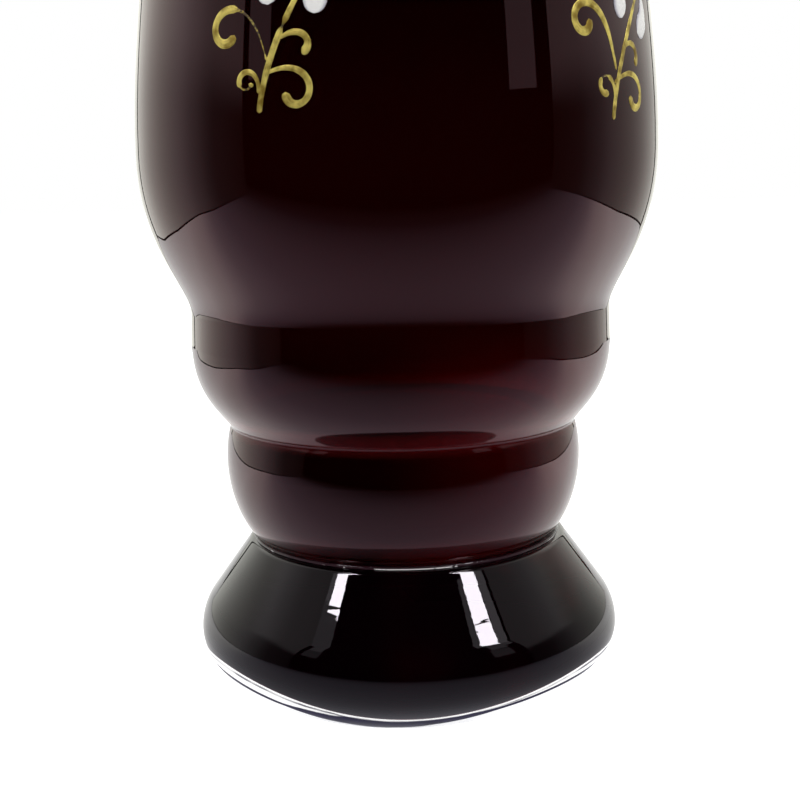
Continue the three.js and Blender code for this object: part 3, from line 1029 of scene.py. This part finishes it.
def paintSpray(number, place):
    paint("gold", f"goldScroll{number}", f"gold_scroll_{number}", place, place["scroll"])
    paint("gold", f"goldShoot{number}", f"gold_shoot_{number}", place, usualShoot)
    centre = place["flower"]["centre"]
    for i, values in enumerate(place["flower"]["petals"], start=1):
        paint("petal", f"petal{number}.{i}", f"petal_{number}_{i}", place, [petalStroke(centre, *values)])
    wide = 2 * heartRadius
    heart = stroke(centre[0] - heartRadius, centre[1], 0, wide, 0, 1, wide, wide, wide)
    paint("heart", f"flowerHeart{number}", f"flower_heart_{number}", place, [heart])
    buds = [
        stroke(*budSize["tip"], heading, budSize["length"], turn, 1, *budSize["widths"], budSize["swellBy"])
        for heading, turn in budSize["turns"]]
    paint("bud", f"bud{number}", f"bud_{number}", place, buds)


for number, place in enumerate(sprayPlaces, start=1):
    paintSpray(number, place)
print("sprays painted")


# Studio: a pale floor, an even white surround, soft lamps, and a light tent that only reflections see

studio = {
    "floorSize": 3.0,
    "floorColour": (0.82, 0.82, 0.82, 1),
    "floorLift": 0.9,
    "liftRadius": (0.0238, 0.0246),
    "ambient": 0.9,
    # The tent's walls on the floor, from the left front round the back to the right front
    "leftWall": ((-306, -158), (-270, -36), (-270, 14), (-240, 103), (-232, 235), (-262, 400)),
    "backWall": ((-260, 404), (262, 405)),
    "rightWall": ((264, 402), (272, 240), (277, 95), (295, 20), (312, -60), (309, -150)),
    "cornerWidth": 28,
    "cornerInset": 0.985,
    "wallTop": 520,
    "floorSeam": 2.6,
    "seamBright": 0.02,
    # Brightness that reflections see, from the front (-Y) to the back
    "floorBright": (
        (-0.20, 0.0), (-0.15, 0.05), (-0.11, 0.17), (-0.05, 0.36),
        (-0.02, 0.55), (0.01, 0.95), (0.06, 1.2), (0.42, 1.0),
    ),
    "leftBright": (
        (-0.15, 0.03), (-0.11, 0.05), (-0.065, 0.07), (-0.04, 0.14), (-0.022, 0.22),
        (0.0, 0.30), (0.03, 0.45), (0.12, 0.78), (0.235, 1.15), (0.42, 1.25),
    ),
    "rightBright": (
        (-0.15, 0.02), (-0.11, 0.03), (-0.065, 0.05), (-0.04, 0.09), (-0.022, 0.12),
        (0.0, 0.16), (0.03, 0.25), (0.12, 0.42), (0.235, 0.72), (0.42, 1.0),
    ),
    # Upper part of the walls: from height, to height, brightness added
    "upperWall": (0.115, 0.165, 0.26),
    # Tints from the front to the back: between two depths
    "wallTints": (0.0, 0.10, (1.0, 1.0, 1.0, 1), (0.99, 1.0, 0.92, 1)),
    "floorTints": (-0.06, 0.03, (0.93, 0.93, 1.10, 1), (1.0, 1.0, 0.98, 1)),
    "windowTint": (0.95, 0.96, 1.0, 1),
}


def placeIn(tree, side):
    return axisOf(tree, put(tree, "ShaderNodeNewGeometry").outputs["Position"], side)


def tintAlong(tree, tints):
    near, far, nearTint, farTint = tints
    return blend(tree, smoothStep(tree, placeIn(tree, "Y"), near, far), nearTint, farTint)


def brightnessAlong(tree, table):
    # A ramp of brightness by the depth in the room
    low, high = table[0][0], table[-1][0]
    most = max(value for _, value in table)
    share = put(tree, "ShaderNodeMapRange", {
        "Value": placeIn(tree, "Y"), "From Min": low, "From Max": high,
    }).outputs["Result"]
    ramp = put(tree, "ShaderNodeValToRGB", {"Fac": share})
    stops = ramp.color_ramp.elements
    while len(stops) < len(table):
        stops.new(0.5)
    for stop, (y, value) in zip(stops, table):
        stop.position = (y - low) / (high - low)
        stop.color = (value / most, value / most, value / most, 1)
    return maths(tree, "MULTIPLY", ramp.outputs["Color"], most)


def raysIn(tree):
    # Rays that see the plain studio, and rays that glass or gold reflects
    ray = put(tree, "ShaderNodeLightPath").outputs
    through = ray["Is Transmission Ray"]
    seen = maths(tree, "MAXIMUM", ray["Is Camera Ray"], through)
    reflected = maths(tree, "GREATER_THAN", maths(tree, "SUBTRACT", ray["Is Glossy Ray"], through), 0.5)
    return seen, reflected


def makeFloor():
    mesh = bpy.data.meshes.new("floor")
    s = studio["floorSize"]
    mesh.from_pydata([(-s, -s, 0), (s, -s, 0), (s, s, 0), (-s, s, 0)], [], [(0, 1, 2, 3)])
    material, tree = newMaterial("floorPaper")
    seen, reflected = raysIn(tree)
    place = put(tree, "ShaderNodeNewGeometry").outputs["Position"]
    away = put(tree, "ShaderNodeVectorMath", {
        0: place, 1: (groundOffset * mm, 0, 0),
    }, operation="DISTANCE").outputs["Value"]
    beyondFoot = smoothStep(tree, away, *studio["liftRadius"])
    lifted = maths(tree, "MULTIPLY", maths(tree, "MULTIPLY", seen, beyondFoot), studio["floorLift"])
    plain = put(tree, "ShaderNodeAddShader", {
        0: put(tree, "ShaderNodeBsdfDiffuse", {"Color": studio["floorColour"]}).outputs[0],
        1: put(tree, "ShaderNodeEmission", {"Color": (1, 1, 1, 1), "Strength": lifted}).outputs[0],
    })
    mirrored = put(tree, "ShaderNodeEmission", {
        "Color": tintAlong(tree, studio["floorTints"]),
        "Strength": brightnessAlong(tree, studio["floorBright"]),
    })
    both = put(tree, "ShaderNodeMixShader", {"Fac": reflected, 1: plain.outputs[0], 2: mirrored.outputs[0]})
    put(tree, "ShaderNodeOutputMaterial", {"Surface": both.outputs[0]})
    mesh.materials.append(material)
    addObject("floor", mesh)


def seenInGlassOnly(piece):
    for kind in ("camera", "diffuse", "transmission", "volume_scatter", "shadow"):
        setattr(piece, "visible_" + kind, False)


def glowing(name, tintFrom, strengthFrom):
    # A material that only glows, with its tint and strength worked out by functions of its node tree
    material, tree = newMaterial(name)
    glow = put(tree, "ShaderNodeEmission", {"Color": tintFrom(tree), "Strength": strengthFrom(tree)})
    put(tree, "ShaderNodeOutputMaterial", {"Surface": glow.outputs[0]})
    return material


def upright(name, lengths, levels, materials):
    # Upright strips over lengths of floor line; one row of faces between each two levels
    verts, faces, kinds = [], [], []
    for line in lengths:
        for (x1, y1), (x2, y2) in zip(line, line[1:]):
            for kind, (low, high) in enumerate(zip(levels, levels[1:])):
                first = len(verts)
                verts += [(x1 * mm, y1 * mm, low * mm), (x2 * mm, y2 * mm, low * mm),
                          (x2 * mm, y2 * mm, high * mm), (x1 * mm, y1 * mm, high * mm)]
                faces.append((first, first + 1, first + 2, first + 3))
                kinds.append(kind % len(materials))
    mesh = bpy.data.meshes.new(name)
    mesh.from_pydata(verts, [], faces)
    for material in materials:
        mesh.materials.append(material)
    mesh.polygons.foreach_set("material_index", kinds)
    seenInGlassOnly(addObject(name, mesh))


def makeTent():
    low, high, added = studio["upperWall"]
    tint = lambda tree: tintAlong(tree, studio["wallTints"])
    seam = glowing("tentSeam", tint, lambda tree: studio["seamBright"])

    def cloth(name, table):
        def brightness(tree):
            upper = smoothStep(tree, placeIn(tree, "Z"), low, high, 0.0, added)
            return maths(tree, "ADD", brightnessAlong(tree, studio[table]), upper)
        return glowing(name, tint, brightness)

    levels = (0, studio["floorSeam"], studio["wallTop"])
    left, back, right = (studio[side] for side in ("leftWall", "backWall", "rightWall"))
    upright("tentLeft", [left, back], levels, [seam, cloth("tentClothLeft", "leftBright")])
    upright("tentRight", [right], levels, [seam, cloth("tentClothRight", "rightBright")])
    # The two back corners are dark lines from the floor to the top
    for name, corner in (("tentCornerLeft", left[-1]), ("tentCornerRight", right[0])):
        inFront = Vector(corner) * studio["cornerInset"]
        half = inFront.orthogonal().normalized() * studio["cornerWidth"] / 2
        upright(name, [(inFront - half, inFront + half)], (0, studio["wallTop"]), [seam])


# Two tall windows in front of the tent, as panels of four corners (angle, height) and a brightness.
# The first panel of each is what the belly mirrors, the others are seen in the foot.
windows = {
    "windowRight": (
        (((45, 140), (57, 140), (57, 225), (45, 225)), 0.25),
        (((47, 230), (57.5, 230), (57, 308), (46.5, 333)), 0.45),
        (((46.5, 333), (57, 308), (56.3, 341), (45.3, 369.5)), 28),
        (((45.3, 371.5), (56.3, 343), (54.5, 620), (43.2, 620)), 28),
        (((57.5, 262), (63, 262), (62.5, 298), (57, 308)), 0.5),
        (((57, 308), (62.5, 298), (60.5, 620), (54.5, 620)), 0.9),
        (((41.5, 312), (46.5, 316), (45, 410), (41, 420)), 0.6),
    ),
    "windowLeft": (
        (((-60, 150), (-50.3, 150), (-50.3, 225), (-60, 225)), 0.22),
        (((-59.3, 230), (-51.3, 230), (-51.3, 364), (-59.3, 343)), 0.45),
        (((-59.3, 343), (-51.3, 364), (-51.3, 620), (-59.3, 620)), 28),
        (((-65.2, 290), (-59.3, 290), (-59.3, 343), (-65.2, 328)), 0.45),
        (((-65.2, 328), (-59.3, 343), (-59.3, 620), (-65.2, 620)), 0.9),
    ),
}
windowDistance = 350


def makeWindow(name, panels):
    on = lambda angle: (
        windowDistance * math.sin(math.radians(angle)), -windowDistance * math.cos(math.radians(angle)))
    verts, faces = [], []
    mesh = bpy.data.meshes.new(name)
    for i, (corners, level) in enumerate(panels):
        verts += [(*on(angle), height) for angle, height in corners]
        faces.append(range(4 * i, 4 * i + 4))
        tint = lambda tree: studio["windowTint"]
        mesh.materials.append(glowing(f"{name}.{i + 1}", tint, lambda tree: level))
    mesh.from_pydata([[c * mm for c in vert] for vert in verts], [], faces)
    mesh.polygons.foreach_set("material_index", range(len(panels)))
    seenInGlassOnly(addObject(name, mesh))


def makeWorld():
    world = bpy.data.worlds.new("studioWorld")
    bpy.context.scene.world = world
    world.use_nodes = True
    tree = world.node_tree
    tree.nodes.clear()
    seen, reflected = raysIn(tree)
    level = maths(tree, "MAXIMUM", seen, studio["ambient"])
    strength = maths(tree, "MULTIPLY", level, maths(tree, "SUBTRACT", 1.0, reflected))
    back = put(tree, "ShaderNodeBackground", {"Color": (1, 1, 1, 1), "Strength": strength})
    put(tree, "ShaderNodeOutputWorld", {"Surface": back.outputs[0]})


def makeLamp(name, angle, climb, distance, width, height, power):
    light = bpy.data.lights.new(name, "AREA")
    light.shape = "RECTANGLE"
    light.size, light.size_y = width, height
    light.energy = power
    lamp = addObject(name, light)
    a, e = math.radians(angle), math.radians(climb)
    towards = Vector((math.sin(a) * math.cos(e), -math.cos(a) * math.cos(e), math.sin(e)))
    lamp.location = towards * distance
    lamp.rotation_euler = towards.to_track_quat("Z", "Y").to_euler()
    lamp.visible_camera = lamp.visible_glossy = False


lamps = {
    "lampRight": {"angle": 50, "climb": 47, "distance": 0.7, "width": 0.30, "height": 0.30, "power": 0.6},
    "lampLeft": {"angle": -63, "climb": 42, "distance": 0.7, "width": 0.30, "height": 0.30, "power": 0.3},
}

camera = {
    "place": (0.0, -213.3, 82.2),
    "tilt": 9.6,
    "yaw": 0.088,
    "roll": -1.2,
    "lens": 60,
    "sensor": 36,
    "clip": (0.01, 20),
}


def makeCamera():
    data = bpy.data.cameras.new("photoCamera")
    data.lens = camera["lens"]
    data.sensor_width = camera["sensor"]
    data.clip_start, data.clip_end = camera["clip"]
    body = addObject("photoCamera", data)
    turn = lambda angle, axis: Matrix.Rotation(math.radians(angle), 4, axis)
    aim = turn(camera["yaw"], "Z") @ turn(90 - camera["tilt"], "X") @ turn(camera["roll"], "Z")
    body.matrix_world = Matrix.Translation(Vector(camera["place"]) * mm) @ aim
    bpy.context.scene.camera = body


makeFloor()
makeTent()
for name, panels in windows.items():
    makeWindow(name, panels)
makeWorld()
for name, values in lamps.items():
    makeLamp(name, **values)
makeCamera()
bpy.context.scene.view_settings.view_transform = "Standard"
print("studio set")
